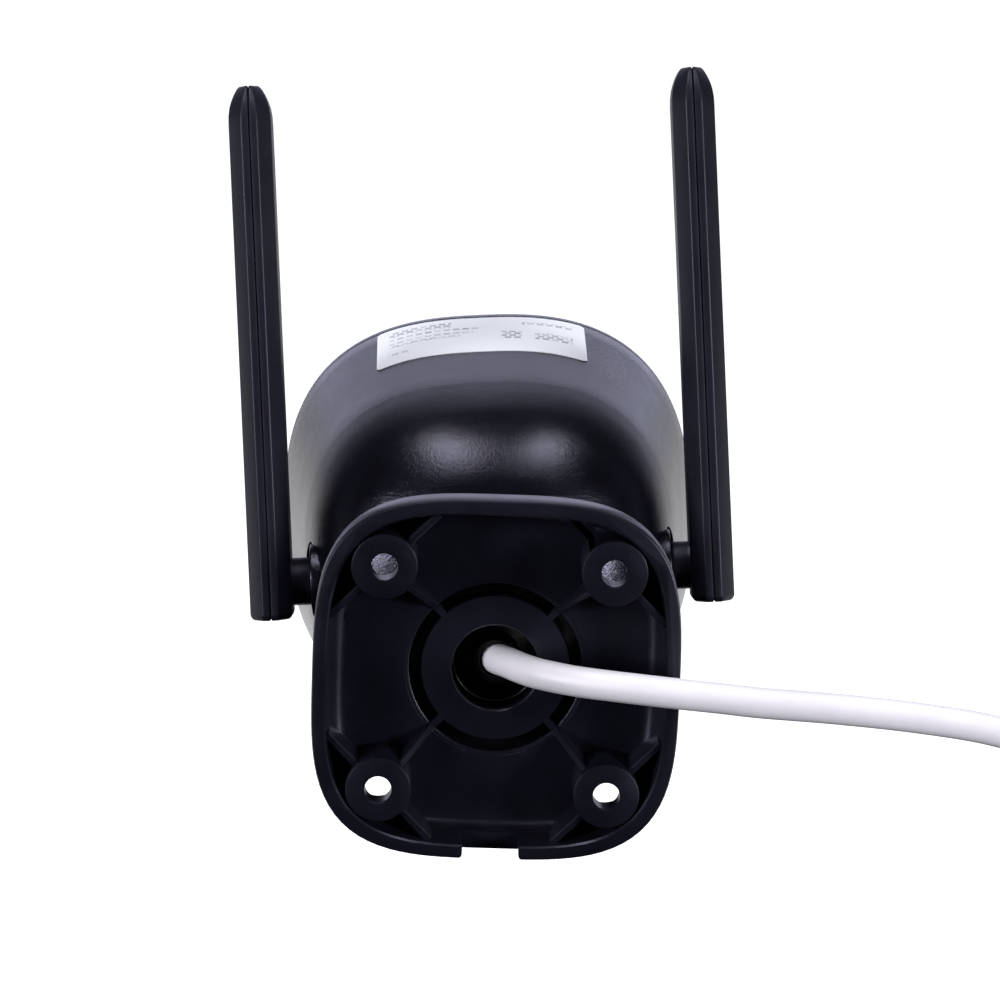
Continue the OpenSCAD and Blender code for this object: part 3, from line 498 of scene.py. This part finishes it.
def buildBase(s, nudge):
    n = s["square"]

    def square(depth, half):
        return depth, half, half, n

    h = s["half"]
    outerRings = [square(0, h - 0.45), square(0.15, h - 0.15), square(0.5, h)] + flowRings(
        [square(5, h), square(9, h - 0.4), square(11, h - 1.3), square(12.4, h - 3.2), square(13, h - 5.6)], 4)
    outer = stackRings("wallBase", outerRings, 120)
    inside = h - s["rim"]
    inner = stackRings("baseHollow", [
        square(-1, inside + 0.5), square(0, inside + 0.3), square(0.4, inside), square(5, inside - 0.5),
        square(8.5, inside - 0.9), square(9.7, inside - 1.25), square(10.5, inside - 1.9),
        square(10.85, inside - 2.5), square(s["floor"], inside - 3.2)], 120)
    outer.name = "outerForm"
    body = duplicate(outer)
    body.name = "wallBase"
    combine(body, inner)

    # Bosses, ribs and ramps are trimmed to the outer form before they join the shell.
    extras = []
    p = s["pitch"] / 2
    reach = p * math.sqrt(2)
    for x in (-p, p):
        for z in (-p, p):
            extras.append(addRod("boss", (x, -0.02, z), (x, -13.6, z), s["bossRadius"], 64, 0.3))
    for quarter in range(4):
        turn = Matrix.Rotation(math.radians(45 + 90 * quarter), 4, "Y")
        web = s["rib"] / 2
        ribs = [addBlock("crossRib", (reach - web, -11.6, low), (reach + web, -1.5, low + 8.8), 0.2, 1)
                for low in (-14, 5.2)]
        stub = addBlock("cornerRib", (reach + 5.3, -11.7, -web), (38, -2.1, web), 0.2, 1)
        ramp = addBlock("ramp", (s["grooveRadius"] - 0.5, -11.5, -web), (reach - 5, -10.7, web))
        for v in ramp.data.vertices:
            if v.co.x > 0.02 and v.co.y > -0.011:
                v.co.y = -0.0015
        addBevel(ramp, 0.2, 1)
        for part in ribs + [stub, ramp]:
            placeMesh(part, turn)
            extras.append(part)
    for part in extras:
        combine(part, duplicate(outer), "INTERSECT")
    bpy.data.objects.remove(outer, do_unlink=True)
    for part in extras:
        combine(body, part, "UNION")

    # Front collar that holds the turntable.
    collar = stackRings("collar", roundRings([
        (12, s["upstand"]), (16, s["upstand"]), (16.2, s["upstand"] - 0.2), (16.2, s["flange"] + 0.15),
        (16, s["flange"]), (12, s["flange"])]), 96, True)
    combine(body, collar, "UNION")

    # Holes, counterbores, hub, groove and notch.
    for x in (-p, p):
        for z in (-p, p):
            combine(body, stackAt(roundRings([(-1, s["holeRadius"] + 0.9), (0.35, s["holeRadius"] + 0.02),
                                              (s["land"], s["holeRadius"]), (s["land"], s["counterRadius"]),
                                              (15, s["counterRadius"])]), x, z, 48))
    combine(body, stackRings("hub", roundRings([
        (s["floor"] - 1, s["hubRadius"] + 1.3), (s["floor"] + 0.3, s["hubRadius"]), (15, s["hubRadius"])]), 72))
    groove = stackRings("groove", roundRings([
        (s["floor"] - 0.6, s["ringRadius"] + 0.15), (s["floor"], s["ringRadius"] - 0.1),
        (s["floor"] + 0.15, s["ringRadius"]), (s["depth"] + 0.5, s["ringRadius"]),
        (s["depth"] + 0.5, s["grooveRadius"] - 0.35), (s["floor"] + 0.3, s["grooveRadius"] - 0.35),
        (s["floor"] + 0.22, s["grooveRadius"] - 0.2), (s["floor"] + 0.2, s["grooveRadius"] + 0.35),
        (s["floor"], s["grooveRadius"] + 0.5), (s["floor"] - 0.6, s["grooveRadius"] + 0.7)]), 120, True)
    for quarter in range(2):
        bridge = addBlock("bridge", (-20, -13.7, -s["rib"] / 2), (20, -9, s["rib"] / 2))
        placeMesh(bridge, Matrix.Rotation(math.radians(45 + 90 * quarter + nudge), 4, "Y"))
        combine(groove, bridge)
    combine(body, groove)
    half = s["notch"] / 2
    combine(body, addBlock("notch", (-half, -s["notchDepth"], -h - 3), (half, 2, -h + 5)))
    for side in (-1, 1):
        low = -h - 0.2
        edge = side * (half + 1)
        corner = addBlock("corner", *sortPair((side * (half - 0.2), -s["notchDepth"], low), (edge, 2, -h + 1)))
        combine(corner, addRod("round", (edge, -10, -h + 1), (edge, 3, -h + 1), 1.0, 32))
        combine(body, corner)
    marks = [addRod("disc", (x, -11.05, z), (x, -10, z), r, 40) for x, z, r in mouldDiscs]
    marks += [addRod("disc", (x, -0.09, z), (x, 1, z), r, 32) for x, z, r in bossDiscs]
    marks += [addRod("ring", (x, -depth, z), (x, -10, z), r, 40)
              for x, z in mouldRings for r, depth in ((1.85, 11.05), (0.9, 11.1))]
    for mark in marks:
        combine(body, mark)
    return body


# Cutting so many shapes can leave an opening shut, so lines along the wall's normal
# have to pass every opening and meet the floor between them.
def baseIsSound(body, s):
    bpy.context.view_layer.update()
    p = s["pitch"] / 2
    middle = (s["ringRadius"] + s["grooveRadius"]) / 2

    def around(radius, turns):
        return [(radius * math.cos(math.radians(t)), radius * math.sin(math.radians(t))) for t in turns]

    arcs = [90 * q + t for q in range(4) for t in (-30, -15, 0, 15, 30)]
    free = [(0, 0)] + [(x, z) for x in (-p, p) for z in (-p, p)] + around(middle, arcs)
    solid = around(11, arcs) + around(19.2, arcs) + around(middle, (45, 135, 225, 315))

    def meets(x, z):
        return body.ray_cast(Vector((x, 30, z)) * mm, Vector((0, -1, 0)))[0]

    faults = [place for place in free if meets(*place)] + [place for place in solid if not meets(*place)]
    print("wall base faults", faults)
    return not faults


for attempt in range(baseSetup["tries"]):
    wallBase = buildBase(baseSetup, attempt * baseSetup["nudge"])
    if baseIsSound(wallBase, baseSetup) or attempt == baseSetup["tries"] - 1:
        break
    bpy.data.objects.remove(wallBase, do_unlink=True)
fixNormals(wallBase)
finishPiece(wallBase, ["base_plate"], None, 28)
print("wall base", len(wallBase.data.polygons))


housingSetup = {
    "square": 2.63, "coverZ": -41.3, "coverDepth": 131.5, "coverTilt": 7.1,
    "grilleAcross": [-9 + 3.6 * k for k in range(6)], "grilleDepths": (105, 108.6, 112.2, 115.8),
}
domeRings = [
    (66, 16, 16, 2), (66.8, 19.5, 19.5, 2), (69, 24.5, 24.5, 2.1), (73, 29.2, 29.2, 2.25), (78, 32.4, 32.4, 2.4),
    (84, 34.8, 34.8, 2.5), (91, 36.6, 36.6, 2.6), (98, 37.9, 38, 2.63)]
hollowRings = [
    (68.6, 17, 17, 2), (71, 23, 23, 2.1), (75, 27.6, 27.6, 2.25), (80, 30.6, 30.6, 2.4), (86, 32.8, 32.8, 2.5),
    (93, 34.6, 34.6, 2.6), (100, 36, 36, 2.63), (142.25, 41.2, 41.4, 2.63)]


def buildHousing(s):
    n = s["square"]
    band = [(98 + 43.7 * t, 37.9 + 5.44 * t, 38 + 5.64 * t, n) for t in (i / 8 for i in range(9))]
    edge = [(142.0, 43.3, 43.6, n), (142.2, 43.05, 43.35, n)]
    outer = stackRings("rearHousing", flowRings(domeRings, 5)[:-1] + band + edge, 144)
    combine(outer, stackRings("hollow", flowRings(hollowRings[:-1], 3) + hollowRings[-1:], 96))
    for side in (-1, 1):
        pad = turnedAcross("pad", [
            (30, 0.1), (30, 7.5), (36.25, 7.5), (36.5, 7.4), (36.6, 7.2), (36.6, 0.1)], side, 64)
        clear = turnedAcross("clear", [(36.15, 0.1), (36.15, 7.95), (36.5, 8.0), (50, 8.3), (50, 0.1)], side, 64)
        combine(outer, clear)
        combine(outer, pad, "UNION")
        combine(outer, turnedAcross("pinBore", [
            (20, 0.1), (20, 3.05), (36.3, 3.05), (36.8, 3.5), (36.8, 0.1)], side, 48))
    combine(outer, stackRings("neckBore", roundRings([(60, 10.6), (66.3, 10.4), (66.8, 10.05), (72, 10.05)]), 72))
    grille = []
    for x in s["grilleAcross"]:
        for depth in s["grilleDepths"]:
            grille.append(addRod("grille", (x, -depth, -32), (x, -depth, -46), 0.8, 16))
    combine(outer, joinPieces(grille[0], grille[1:]))
    recess = addBlock("recess", (-15.15, -7.15, -6), (15.15, 7.15, 1.9), 0.9, 3)
    tilt = Matrix.Rotation(math.radians(s["coverTilt"]), 4, "X")
    placeMesh(recess, Matrix.Translation((0, -s["coverDepth"] * mm, s["coverZ"] * mm)) @ tilt)
    combine(outer, recess)
    return outer


# A turned form about the antenna hinge axis, drawn as (distance across, radius) pairs.
def turnedAcross(name, profile, side, steps):
    obj = stackRings(name, [(x, r, r, 2) for x, r in profile], steps)
    turn = Matrix.Rotation(math.radians(90 * side), 4, "Z")
    placeMesh(obj, Matrix.Translation((0, -hingeDepth * mm, 0)) @ turn)
    return obj


housing = buildHousing(housingSetup)
fixNormals(housing)
rollWithHead(housing)
finishPiece(housing, ["rear_housing"], None, 30)
print("housing", len(housing.data.polygons))

bezel = stackRings("frontBezel", [
    (142.2, 43.1, 43.4, 2.63), (142.35, 43.4, 43.7, 2.63), (143.5, 43.5, 43.8, 2.63), (144.8, 43.42, 43.72, 2.63),
    (145.8, 43.1, 43.4, 2.63), (146.5, 42.6, 42.9, 2.63), (146.9, 42.0, 42.3, 2.63), (147, 41.4, 41.7, 2.63),
    (146.95, 40.9, 41.2, 2.63), (146.6, 40.45, 40.5, 2.63), (145.6, 40.15, 40.15, 2.63), (144.2, 40.1, 40.1, 2.63),
    (144.2, 38.4, 38.4, 2.63), (138, 38.4, 38.4, 2.63), (138, 40.2, 40.2, 2.63), (142.2, 40.25, 40.25, 2.63)], 144, True)
combine(bezel, addBlock("coverClear", (-19, -139.2, -46), (19, -136, -36.5)))
rollWithHead(bezel)
finishPiece(bezel, ["front_bezel"], None, 35)

window = stackRings("frontWindow", [
    (145, 39.7, 39.7, 2.63), (145.1, 39.95, 39.95, 2.63), (146.3, 39.95, 39.95, 2.63), (146.6, 39.8, 39.8, 2.63),
    (146.75, 39.4, 39.4, 2.63), (146.8, 38.6, 38.6, 2.63)], 144)
rollWithHead(window)
finishPiece(window, ["front_window"], None, 35)


# Blocks of dashes as left, right, low and high shares of the label.
labelBlocks = [
    (0.06, 0.36, 0.76, 0.90), (0.06, 0.50, 0.66, 0.71), (0.06, 0.47, 0.56, 0.61), (0.06, 0.40, 0.46, 0.51),
    (0.06, 0.16, 0.24, 0.30), (0.70, 0.94, 0.78, 0.86), (0.60, 0.70, 0.36, 0.58), (0.76, 0.94, 0.36, 0.56),
]
labelSetup = {"halfWidth": 21.9, "back": 118, "front": 141.2, "lift": 0.06, "thick": 0.14, "corner": 1.2}


# A white film with rows of plain dashes in place of print.
def labelMaterial():
    material, tree = startMaterial("printedFilm")
    place = addNode(tree, "ShaderNodeUVMap", uv_map="label").outputs["UV"]
    rows = addNode(tree, "ShaderNodeTexBrick",
                   {"Scale": 1.0, "Brick Width": 0.045, "Row Height": 0.06, "Mortar Size": 0.007,
                    "Mortar Smooth": 0.1, "Bias": -0.2, "Color1": (1, 1, 1, 1), "Color2": (0.2, 0.2, 0.2, 1),
                    "Mortar": (0, 0, 0, 1)}, {"Vector": place})
    split = addNode(tree, "ShaderNodeSeparateXYZ", links={"Vector": place})
    blocks = None
    for left, right, low, high in labelBlocks:
        inside = None
        for axis, edge, rule in (("X", left, "GREATER_THAN"), ("X", right, "LESS_THAN"),
                                 ("Y", low, "GREATER_THAN"), ("Y", high, "LESS_THAN")):
            test = addNode(tree, "ShaderNodeMath", {1: edge}, {0: split.outputs[axis]}, operation=rule)
            inside = test if inside is None else addNode(
                tree, "ShaderNodeMath", links={0: inside.outputs[0], 1: test.outputs[0]}, operation="MULTIPLY")
        blocks = inside if blocks is None else addNode(
            tree, "ShaderNodeMath", links={0: blocks.outputs[0], 1: inside.outputs[0]}, operation="MAXIMUM")
    ink = addNode(tree, "ShaderNodeMath", links={0: rows.outputs["Color"], 1: blocks.outputs[0]},
                  operation="MULTIPLY")
    paper = addNode(tree, "ShaderNodeTexNoise", {"Scale": 60, "Detail": 3}, {"Vector": place})
    tone = addNode(tree, "ShaderNodeValToRGB", links={"Fac": paper.outputs["Fac"]})
    tone.color_ramp.elements[0].color = hexToLinear("#f4f9ff")
    tone.color_ramp.elements[1].color = hexToLinear("#fbfdff")
    strength = addNode(tree, "ShaderNodeMath", {1: 0.75}, {0: ink.outputs[0]}, operation="MULTIPLY")
    colour = addNode(tree, "ShaderNodeMix", {7: hexToLinear("#6d7480")},
                     {0: strength.outputs[0], 6: tone.outputs["Color"]}, data_type="RGBA")
    shader = addNode(tree, "ShaderNodeBsdfPrincipled", {"Roughness": 0.35, "Coat Weight": 0.2},
                     {"Base Color": colour.outputs[2]})
    addNode(tree, "ShaderNodeOutputMaterial", links={"Surface": shader.outputs["BSDF"]})
    return material


# Height of the band's top at a place across and a depth from the wall.
def bandHeight(x, depth):
    f = (depth - 98) / 44.2
    a, b = 37.9 + f * 5.5, 38 + f * 5.6
    return b * (1 - (abs(x) / a) ** 2.63) ** (1 / 2.63)


def buildLabel(s):
    clearSelection()
    bpy.ops.mesh.primitive_grid_add(x_subdivisions=46, y_subdivisions=22, size=2)
    obj = bpy.context.object
    obj.name = "ratingLabel"
    layer = obj.data.uv_layers.active or obj.data.uv_layers.new()
    layer.name = "label"
    middle = (s["back"] + s["front"]) / 2
    halfDeep = (s["front"] - s["back"]) / 2
    for loop in obj.data.loops:
        co = obj.data.vertices[loop.vertex_index].co
        layer.data[loop.index].uv = ((1 - co.x) / 2, (co.y + 1) / 2)
    for v in obj.data.vertices:
        x, d = v.co.x * s["halfWidth"], v.co.y * halfDeep
        overX, overD = abs(x) - (s["halfWidth"] - s["corner"]), abs(d) - (halfDeep - s["corner"])
        if overX > 0 and overD > 0:
            reach = math.hypot(overX, overD)
            if reach > s["corner"]:
                x = math.copysign(s["halfWidth"] - s["corner"] + overX * s["corner"] / reach, x)
                d = math.copysign(halfDeep - s["corner"] + overD * s["corner"] / reach, d)
        depth = middle + d
        v.co = (x * mm, -depth * mm, (bandHeight(x, depth) + s["lift"]) * mm)
    fixNormals(obj)
    if obj.data.polygons[0].normal.z < 0:
        obj.data.flip_normals()
    item = obj.modifiers.new("film", "SOLIDIFY")
    item.thickness = s["thick"] * mm
    item.offset = 1
    applyModifiers(obj)
    return obj


label = buildLabel(labelSetup)
rollWithHead(label)
finishPiece(label, ["rating_label"], labelMaterial(), 40)
print("label done")

antennaSetup = {"thick": 8.6, "wide": 19, "up": 100.7, "down": 7.3, "centre": 44.75, "chamferX": 2.65, "chamferZ": 4,
                "seam": 0.09}


# One half shell, drawn as a stack of six-sided sections along its length.
def buildHalfShell(name, s, outerHalf):
    hx, hz = s["thick"] / 2, s["wide"] / 2
    # Height, half thickness, half width, chamfer across and chamfer along.
    rings = [
        (-s["down"], hx - 0.9, hz - 1.0, 1.9, 3.4), (-s["down"] + 0.35, hx - 0.35, hz - 0.4, 2.3, 3.8),
        (-s["down"] + 1.1, hx, hz, s["chamferX"], s["chamferZ"]),
        (s["up"] - 7.6, hx, hz, s["chamferX"], s["chamferZ"]),
        (s["up"] - 6, hx - 0.06, hz - 0.1, s["chamferX"], s["chamferZ"]),
        (s["up"] - 4.4, hx - 0.28, hz - 0.5, 2.55, 4), (s["up"] - 3, hx - 0.68, hz - 1.1, 2.35, 4),
        (s["up"] - 1.7, hx - 1.2, hz - 1.9, 2.1, 3.9), (s["up"] - 0.6, hx - 1.8, hz - 2.8, 1.8, 3.7),
        (s["up"], hx - 2.3, hz - 3.7, 1.4, 3.4)]
    sign = 1 if outerHalf else -1
    gap = s["seam"]
    clearSelection()
    bpy.ops.mesh.primitive_circle_add(vertices=6, radius=0.01)
    obj = bpy.context.object
    obj.name = name
    bpy.ops.object.mode_set(mode="EDIT")
    bpy.ops.mesh.select_all(action="SELECT")
    for k, (y, tx, wz, cx, cz) in enumerate(rings):
        section = [(gap, wz), (tx - cx, wz), (tx, wz - cz), (tx, -wz + cz), (tx - cx, -wz), (gap, -wz)]
        if k:
            bpy.ops.mesh.extrude_region_move()
        work = bmesh.from_edit_mesh(obj.data)
        if k == 0:
            tags = work.verts.layers.int.new("corner")
            for i, v in enumerate(sorted(work.verts, key=lambda v: math.atan2(v.co.y, v.co.x))):
                v[tags] = i
        tags = work.verts.layers.int["corner"]
        chosen = [v for v in work.verts if v.select]
        for v in chosen:
            x, z = section[v[tags]]
            v.co = (sign * x * mm, z * mm, y * mm)
        bmesh.update_edit_mesh(obj.data)
    bpy.ops.mesh.edge_face_add()
    bpy.ops.mesh.select_all(action="DESELECT")
    bpy.ops.mesh.select_non_manifold()
    bpy.ops.mesh.edge_face_add()
    bpy.ops.object.mode_set(mode="OBJECT")
    fixNormals(obj)
    return obj


# Puts a piece drawn about its hinge onto one side of the housing.
def ontoHinge(obj, side):
    if side < 0:
        placeMesh(obj, Matrix.Scale(-1, 4, (1, 0, 0)))
        fixNormals(obj)
    lean = Matrix.Rotation(antennaLean, 4, "X")
    shift = Matrix.Translation((side * antennaSetup["centre"] * mm, -hingeDepth * mm, 0))
    placeMesh(obj, shift @ lean)
    rollWithHead(obj)


for side, mark in ((1, "l"), (-1, "r")):
    for name, node, isOuter in (("antennaOuter_", "antenna_outer_", True),
                                ("antennaInner_", "antenna_inner_", False)):
        half = buildHalfShell(name + mark, antennaSetup, isOuter)
        addBevel(half, 0.4, 3, 12)
        ontoHinge(half, side)
        finishPiece(half, [node + mark], None, 24)
    barrel = stackRings("antennaHinge_" + mark, roundRings([
        (3.6, 3.0), (3.6, 4.9), (4.35, 4.9), (4.5, 4.85), (5.0, 4.85), (7.6, 4.85), (7.95, 4.78), (8.08, 4.6),
        (8.08, 3.0), (16, 3.0)]), 64)
    placeMesh(barrel, Matrix.Rotation(math.radians(-90), 4, "Z"))
    ontoHinge(barrel, side)
    finishPiece(barrel, ["antenna_hinge_" + mark], None, 30)
print("antennas done")

# Hard pieces that keep their CAD shape, with rounded edges.
# The turntable shows through the groove; its near-black acetal is painted shade there.
roundedCopy("panTurntable", ["turntable"], 0.3, 2, material=smoothAcetal)
roundedCopy("panLockRing", ["pan_lock_ring"], 0.35, 2)
roundedCopy("kneeArm", ["knuckle_arm"], 0.5, 3)
roundedCopy("rollLockRing", ["roll_lock_ring"], 0.35, 2)
roundedCopy("tiltBolt", ["tilt_bolt"], 0.3, 2)
roundedCopy("tiltNut", ["tilt_nut"], 0.25, 2)
roundedCopy("cardCover", ["card_cover"], 0.35, 2)
roundedCopy("coverScrews", ["cover_screws"], 0.12, 1)
# The grommet's inner collar, in near-black rubber, hides the cable's root deep in the hub: partly a real strain relief,
# partly a dark piece standing in for the shade there.
cup = stackRings("cableGrommet", roundRings([
    (17, 8.05), (24.8, 8.1), (25, 7.9), (25, 2.9), (16.1, 2.9), (16, 3.1), (16, 4.1), (16.2, 4.3), (22.3, 4.3),
    (22.5, 4.5), (22.5, 7.2), (22.3, 7.4), (17, 7.75), (16.9, 7.9)]), 64, True)
finishPiece(cup, ["cable_grommet"], None, 35)
roundedCopy("cableSplitter", ["cable_splitter"], 0.9, 3)
roundedCopy("networkSocket", ["network_socket"], 0.5, 3)
roundedCopy("powerSocket", ["power_socket"], 0.4, 3)
roundedCopy("lensBarrel", ["lens_barrel"], 0.25, 2)
print("rounded pieces done")

for name, obj in frame["nodes"].items():
    if not obj.hide_render:
        dress(obj, slotMaterials.get(slotOf[name], mattAbs))

lightSetup = {
    "floorZ": -0.262, "worldDark": 0.012, "worldBright": 1.4, "aim": (0, -0.1, 0.02),
    "boxes": [
        {"name": "overLeft", "place": (0.34, -0.02, 1.15), "size": (0.16, 0.86), "watts": 6.6,
         "tint": (0.98, 0.96, 1)},
        {"name": "overRight", "place": (-0.37, -0.02, 1.14), "size": (0.14, 0.78), "watts": 5.0,
         "tint": (0.96, 0.96, 1)},
        {"name": "frontLeft", "place": (1.55, 1.02, 0.30), "size": (0.45, 0.45), "watts": 28,
         "tint": (0.95, 0.94, 1)},
        {"name": "frontRight", "place": (-1.50, 1.08, 0.30), "size": (0.45, 0.45), "watts": 30,
         "tint": (0.95, 0.94, 1)},
    ],
}


# The sweep looks white, and gives the object half of that light, so its underside stays dark.
def paleFloor():
    material, tree = startMaterial("whiteSweep")  # painted studio sweep: bright and even
    coords = addNode(tree, "ShaderNodeTexCoord").outputs["Object"]
    cloud = addNode(tree, "ShaderNodeTexNoise", {"Scale": 3, "Detail": 2}, {"Vector": coords})
    tone = addNode(tree, "ShaderNodeValToRGB", links={"Fac": cloud.outputs["Fac"]})
    tone.color_ramp.elements[0].color = hexToLinear("#f4f4f4")
    tone.color_ramp.elements[1].color = hexToLinear("#fafafa")
    ray = addNode(tree, "ShaderNodeLightPath")
    glow = addNode(tree, "ShaderNodeMapRange", {"To Min": 0.5, "To Max": 1.0},
                   {"Value": ray.outputs["Is Camera Ray"]})
    shader = addNode(tree, "ShaderNodeBsdfPrincipled", {"Roughness": 0.8, "Emission Color": (1, 1, 1, 1)},
                     {"Base Color": tone.outputs["Color"], "Emission Strength": glow.outputs["Result"]})
    addNode(tree, "ShaderNodeOutputMaterial", links={"Surface": shader.outputs["BSDF"]})
    return material


clearSelection()
bpy.ops.mesh.primitive_plane_add(size=12, location=(0, -6.35, lightSetup["floorZ"]))
floor = bpy.context.object
floor.name = "studioFloor"
bpy.ops.object.transform_apply(location=True, rotation=True, scale=True)
dress(floor, paleFloor())

for box in lightSetup["boxes"]:
    bpy.ops.object.light_add(type="AREA", location=box["place"])
    lamp = bpy.context.object
    lamp.name = box["name"]
    lamp.data.shape = "RECTANGLE"
    lamp.data.size, lamp.data.size_y = box["size"]
    lamp.data.energy = box["watts"]
    lamp.data.color = box["tint"]
    back = (Vector(box["place"]) - Vector(lightSetup["aim"])).normalized()
    along = (Vector((0, 1, 0)) - back * back.y).normalized()  # the long side of a strip runs towards the wall
    lamp.rotation_euler = Matrix((along.cross(back), along, back)).transposed().to_euler()


# Bright sweep behind the object and a dimmer studio on the camera's side.
def addWorld(s):
    world = bpy.data.worlds.new("studio")
    bpy.context.scene.world = world
    world.use_nodes = True
    tree = world.node_tree
    tree.nodes.clear()
    place = addNode(tree, "ShaderNodeTexCoord").outputs["Generated"]
    split = addNode(tree, "ShaderNodeSeparateXYZ", links={"Vector": place})
    level = addNode(tree, "ShaderNodeMapRange", {"From Min": -0.97, "From Max": -0.8, "To Min": s["worldBright"],
                                                 "To Max": s["worldDark"]}, {"Value": split.outputs["Y"]})
    sky = addNode(tree, "ShaderNodeBackground", {"Color": (0.76, 0.77, 1, 1)}, {"Strength": level.outputs["Result"]})
    seen = addNode(tree, "ShaderNodeBackground", {"Color": (1, 1, 1, 1), "Strength": 1.0})
    ray = addNode(tree, "ShaderNodeLightPath")
    mix = addNode(tree, "ShaderNodeMixShader",
                  links={0: ray.outputs["Is Camera Ray"], 1: sky.outputs[0], 2: seen.outputs[0]})
    addNode(tree, "ShaderNodeOutputWorld", links={"Surface": mix.outputs[0]})


addWorld(lightSetup)
bpy.context.scene.view_settings.view_transform = "Standard"
print("light and floor done")
